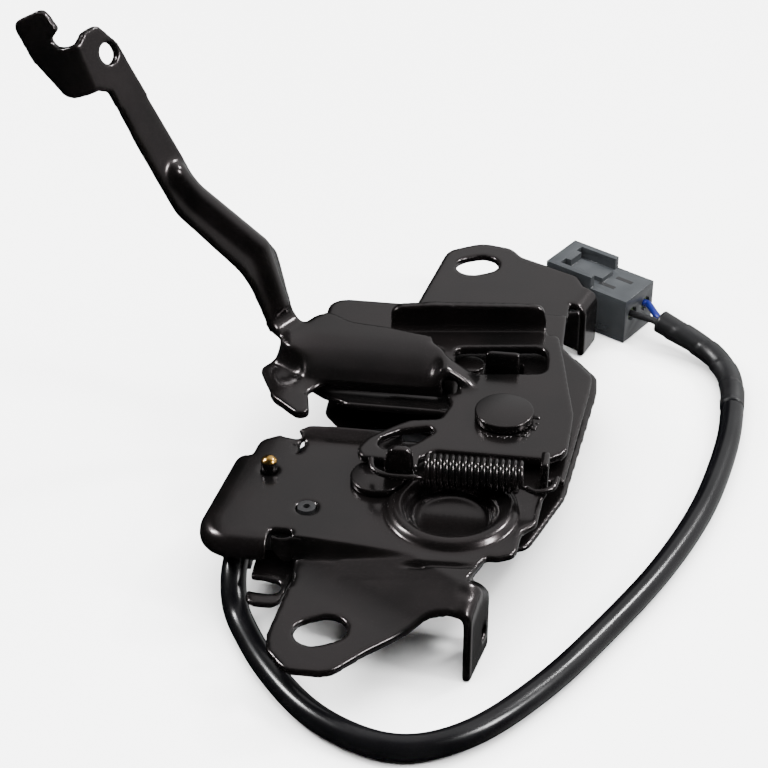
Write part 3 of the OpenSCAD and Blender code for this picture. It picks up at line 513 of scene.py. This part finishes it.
def tube(name, points, radius, sides, material):
    """A tube drawn along points by extruding a circle; radius is a number or depends on length and angle."""
    bm = bmesh.new()
    order = bm.verts.layers.int.new("order")
    last = len(points) - 1
    tangents = [(points[min(i + 1, last)] - points[max(i - 1, 0)]).normalized() for i in range(last + 1)]
    across = tangents[0].orthogonal().normalized()
    ring = bmesh.ops.create_circle(bm, segments=sides, radius=MM)["verts"]
    for k, vert in enumerate(ring):
        vert[order] = k
    edges = list(bm.edges)
    along = 0.0
    for i, (point, tangent) in enumerate(zip(points, tangents)):
        if i:
            along += (point - points[i - 1]).length
            across = (tangents[i - 1].rotation_difference(tangent) @ across).normalized()
            new = bmesh.ops.extrude_edge_only(bm, edges=edges)["geom"]
            ring = [g for g in new if isinstance(g, bmesh.types.BMVert)]
            heads = set(ring)
            edges = [g for g in new if isinstance(g, bmesh.types.BMEdge) and set(g.verts) <= heads]
        side = tangent.cross(across)
        for vert in ring:
            angle = 2 * math.pi * vert[order] / sides
            r = radius(along, angle) if callable(radius) else radius
            vert.co = point + r * (math.cos(angle) * across + math.sin(angle) * side)
    bmesh.ops.holes_fill(bm, edges=bm.edges, sides=sides)
    return as_object(name, bm, material)


def cord_curve(name, points, diameter, material):
    """A round cord as a curve with a bevel."""
    data = bpy.data.curves.new(name, "CURVE")
    data.dimensions = "3D"
    data.bevel_depth = diameter / 2
    data.bevel_resolution = 6
    data.use_fill_caps = True
    spline = data.splines.new("POLY")
    spline.points.add(len(points) - 1)
    for point, place in zip(spline.points, points):
        point.co = (*place, 1)
    spline.use_smooth = True
    obj = bpy.data.objects.new(name, data)
    bpy.context.collection.objects.link(obj)
    dress(obj, material)
    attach(obj, "frame")
    return obj


drawn = [Vector(EXIT) * MM] + smooth_route(SLEEVE_POINTS + TAPE_POINTS, 10)
tail = relaxed(resampled(drawn, ROUTE_STEP * MM), ROUTE_PASSES)
tape_from = min(range(len(tail)), key=lambda i: (tail[i] - Vector(SLEEVE_POINTS[-1]) * MM).length)
sleeve = cord_curve("sleeve", tail, SLEEVE_D * MM, SLEEVE)
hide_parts("harness_sleeve")

# Tape wound over the sleeve's end, each turn over the edge of the one before
TAPE_R, TAPE_T, TAPE_PITCH = 3.02 * MM, 0.24 * MM, 8.5 * MM


def tape_radius(along, angle):
    return TAPE_R + TAPE_T * ((along / TAPE_PITCH + angle / (2 * math.pi)) % 1)


tape = tube("tape", smooth_route([p / MM for p in tail[tape_from:]], 2), tape_radius, 48, TAPE)
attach(tape, "frame")
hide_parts("harness_tape")

# Connector's place, and the two slots in its upper face, drawn as thin black plates: painted shade of the
# slots' openings
CONN_L, CONN_W, CONN_H = 26, 14, 16.4
CONN_CORNER = (27.6, 81.2, -13.9 + CONN_H / 2)
CONN_TURN = math.radians(-30)
CONN_AX = Vector((math.cos(CONN_TURN), math.sin(CONN_TURN), 0))
CONN_AY = Vector((-math.sin(CONN_TURN), math.cos(CONN_TURN), 0))
CONN_AT = Vector(CONN_CORNER) + CONN_L / 2 * CONN_AX + CONN_W / 2 * CONN_AY
SLOT_L, SLOT_W, SLOT_T, SLOT_Z = 5, 1.3, 0.3, -1.0
# Black plates stand in for the slots' shaded insides: painted shade, not holes
bm = bmesh.new()
for along, across in ((4.2, -2.8), (6.6, 2.2)):
    place = CONN_AT + along * CONN_AX + across * CONN_AY
    bmesh.ops.create_cube(bm, size=1, matrix=Matrix.Translation(Vector((place.x, place.y, SLOT_Z)) * MM)
                          @ Matrix.Rotation(CONN_TURN, 4, "Z")
                          @ Matrix.Diagonal((SLOT_L * MM, SLOT_W * MM, SLOT_T * MM, 1)))
slot_shade = as_object("connector_slot_shade", bm, BLACK_PLASTIC)
slot_shade.data.set_sharp_from_angle(angle=SHARP)
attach(slot_shade, "frame")

# Wires from the connector's seals into the tape
WIRE_D, SEAL_L, SEAL_APART, SEAL_Z, TAPE_APART = 1.9, 11.1, 3.3, -0.6, 1.18
tape_way = (tail[-1] - tail[-2]).normalized()
tape_side = tape_way.cross(Vector((0, 0, 1))).normalized()
for node_name, side in (("blue_wire", 1), ("black_wire", -1)):
    foot = CONN_AT + SEAL_L * CONN_AX + side * SEAL_APART * CONN_AY + Vector((0, 0, SEAL_Z))
    head = tail[-1] / MM + 0.1 * tape_way + side * TAPE_APART * tape_side
    way = [foot, foot + 1.5 * CONN_AX, foot + 3 * CONN_AX, head + 2 * tape_way, head]
    wire = tube(node_name + "_drawn", smooth_route(way, 6), WIRE_D / 2 * MM, 20, FINISHES[node_name])
    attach(wire, "frame")
    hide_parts(node_name)

# Lever spring: hooks at both ends of a close-wound coil
SPRING_WIRE_R = 0.7
COIL_X, COIL_Y, COIL_Z = 7.6, -33.1, 14.0
COIL_R, COIL_PITCH, COIL_TURNS, COIL_STEPS = 3.3, 1.42, 16, 16
LEFT_HOOK = [(-4.6, -31.2, 14.6), (-3.6, -34.6, 14), (0, -36.6, 14), (5, -36.6, 14)]
RIGHT_HOOK = [(31.4, -35.6, 13), (34, -36, 12.4), (37.4, -34, 12.4), (38.2, -30.4, 12.6)]
coil = []
for i in range(COIL_TURNS * COIL_STEPS + 1):
    angle = i * math.pi / (COIL_STEPS / 2)
    coil.append((COIL_X + i / COIL_STEPS * COIL_PITCH, COIL_Y - COIL_R * math.cos(angle),
                 COIL_Z - COIL_R * math.sin(angle)))
spring_way = smooth_route(LEFT_HOOK, 4) + smooth_route(coil, 1) + smooth_route(RIGHT_HOOK, 5)
spring = tube("lever_spring_wound", spring_way, SPRING_WIRE_R * MM, 14, PAINT)
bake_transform(spring)
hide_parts("lever_spring")


# Sheet webs
def sheet_web(name, steps, thick_mm, place):
    """A web of bent sheet on the frame; place turns shares across and down it into millimetres."""
    bm = bmesh.new()
    bmesh.ops.create_grid(bm, x_segments=steps[0], y_segments=steps[1], size=0.5)
    for v in bm.verts:
        v.co = Vector(place(v.co.x + 0.5, 0.5 - v.co.y)) * MM
    obj = as_object(name, bm, PAINT)
    sheet = obj.modifiers.new("sheet", "SOLIDIFY")
    sheet.thickness, sheet.offset = thick_mm * MM, 0
    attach(obj, "frame")


TOOTH_X, TOOTH_Y, TOOTH_TOP, TOOTH_W = -23.6, -53.7, 7.5, 6.4
TOOTH_TIP, TOOTH_BULGE = 0.55, 1.5


def tooth_place(across, down):
    """Gusset tooth pressed down at the end of the web's wall, longest at its tip and bulging to the front."""
    drop = 2.4 + 7.2 * across if across < TOOTH_TIP else 6.4 - 2.4 * (across - TOOTH_TIP)
    bulge = TOOTH_BULGE * math.sin(math.pi * min(1, across / 0.6))
    return (TOOTH_X + TOOTH_W * across, TOOTH_Y - bulge * (0.5 + 0.5 * down) - 0.8 * down,
            TOOTH_TOP - drop * down)


CORNER_X, CORNER_Y, CORNER_TOP, CORNER_W, CORNER_H = 33.2, 56.6, 1.6, 5, 9


def corner_place(across, down):
    """Web that closes the corner between the upper tab's flange and the main plate."""
    return (CORNER_X + CORNER_W * across, CORNER_Y + 1.2 * across,
            CORNER_TOP - (CORNER_H + 3 * across) * down)


sheet_web("gusset_tooth", (20, 10), 0.9, tooth_place)
sheet_web("corner_web", (8, 8), 1.4, corner_place)

# Paint runs round the lever's rivet: small beads at uneven places along its near side
RIVET_X, RIVET_Y, RIVET_FOOT_Z = 24, -8.7, 12.6
BEADS, BEAD_FROM, BEAD_STEP, BEAD_REACH, BEAD_R = 22, -118, 6.6, 7.1, 0.3
bm = bmesh.new()
for k in range(BEADS):
    angle = math.radians(BEAD_FROM + BEAD_STEP * k + 9 * math.sin(5 * k))
    reach, size = BEAD_REACH + 0.9 * abs(math.sin(2.3 * k)), BEAD_R + 0.3 * abs(math.sin(3.7 * k))
    place = Vector((RIVET_X + reach * math.cos(angle), RIVET_Y + reach * math.sin(angle), RIVET_FOOT_Z)) * MM
    bmesh.ops.create_uvsphere(bm, u_segments=10, v_segments=6, radius=size * MM,
                              matrix=Matrix.Translation(place) @ Matrix.Diagonal((1.4, 1, 0.6, 1)))
runs = as_object("paint_runs", bm, PAINT)
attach(runs, "safety_lever")

# Switch rivet: bare brass dome over a painted shank
DOME_Z = 10.2
pin = softened("switch_rivet", "frame", 0.3)
dress(pin, BRASS, PAINT)
for face in pin.data.polygons:
    face.material_index = 1 if face.center.z < DOME_Z * MM else 0


# Floor and lights
def floor():
    """Matt white paper: an even pale ground that the paint doesn't mirror."""
    bm = bmesh.new()
    bmesh.ops.create_grid(bm, x_segments=1, y_segments=1, size=3)
    bmesh.ops.translate(bm, verts=bm.verts, vec=(0, 0, FLOOR_Z * MM - 0.0002))
    material, tree, place = start_material("paper_white_matt", {"Roughness": 0.9, "Specular IOR Level": 0.1})
    cloud = add(tree, "ShaderNodeTexNoise", {"Scale": per_metre(200)}, {"Vector": place}).outputs["Fac"]
    colour = add(tree, "ShaderNodeValToRGB", None, {"Fac": cloud}, [(0.3, "#f4f4f3"), (0.7, "#f8f8f8")])
    shaded(tree, Base_Color=colour.outputs["Color"])
    obj = as_object("floor", bm, material)
    obj.visible_glossy = False


def softbox(name, place, size, watts, glossy):
    """An area light aimed at the latch; without glossy, the paint doesn't mirror it."""
    data = bpy.data.lights.new(name, "AREA")
    data.shape = "RECTANGLE"
    data.size, data.size_y = size
    data.energy = watts
    obj = bpy.data.objects.new(name, data)
    obj.location = place
    obj.rotation_euler = Vector(place).to_track_quat("Z", "Y").to_euler()
    obj.visible_glossy = glossy
    bpy.context.collection.objects.link(obj)


TENT_STRENGTH = 0.82
TENT_LEAN = 1.8


def studio():
    """A white tent behind and above the latch that leans to the right, dark on the camera's side."""
    world = bpy.data.worlds.new("studio")
    world.use_nodes = True
    tree = world.node_tree
    ways = add(tree, "ShaderNodeTexCoord").outputs["Generated"]
    split = add(tree, "ShaderNodeSeparateXYZ", None, {"Vector": ways}).outputs
    back = add(tree, "ShaderNodeMapRange", {"From Min": -0.2, "From Max": 0.35}, {"Value": split["Y"]})
    lean = add(tree, "ShaderNodeMath", {"operation": "MULTIPLY_ADD", 1: TENT_LEAN},
               {0: split["X"], 2: split["Z"]})
    high = add(tree, "ShaderNodeMapRange", {"From Min": 0.0, "From Max": 0.3},
               {"Value": lean.outputs["Value"]})
    both = add(tree, "ShaderNodeMath", {"operation": "MULTIPLY"},
               {0: back.outputs["Result"], 1: high.outputs["Result"]})
    colour = add(tree, "ShaderNodeValToRGB", None, {"Fac": both.outputs["Value"]},
                 [(0.0, "#141414"), (1.0, "#ffffff")])
    background = tree.nodes["Background"]
    tree.links.new(colour.outputs["Color"], background.inputs["Color"])
    background.inputs["Strength"].default_value = TENT_STRENGTH
    bpy.context.scene.world = world


floor()
softbox("fill", (0, 0, 1.6), (2.4, 2.4), 220, glossy=False)
softbox("spark_back", (0.75, 0.55, 0.9), (0.15, 0.15), 12, glossy=True)
softbox("spark_left", (-0.9, 0.1, 0.8), (0.1, 0.3), 16, glossy=True)
softbox("spark_right", (0.9, -0.2, 0.7), (0.2, 0.3), 13, glossy=True)
studio()
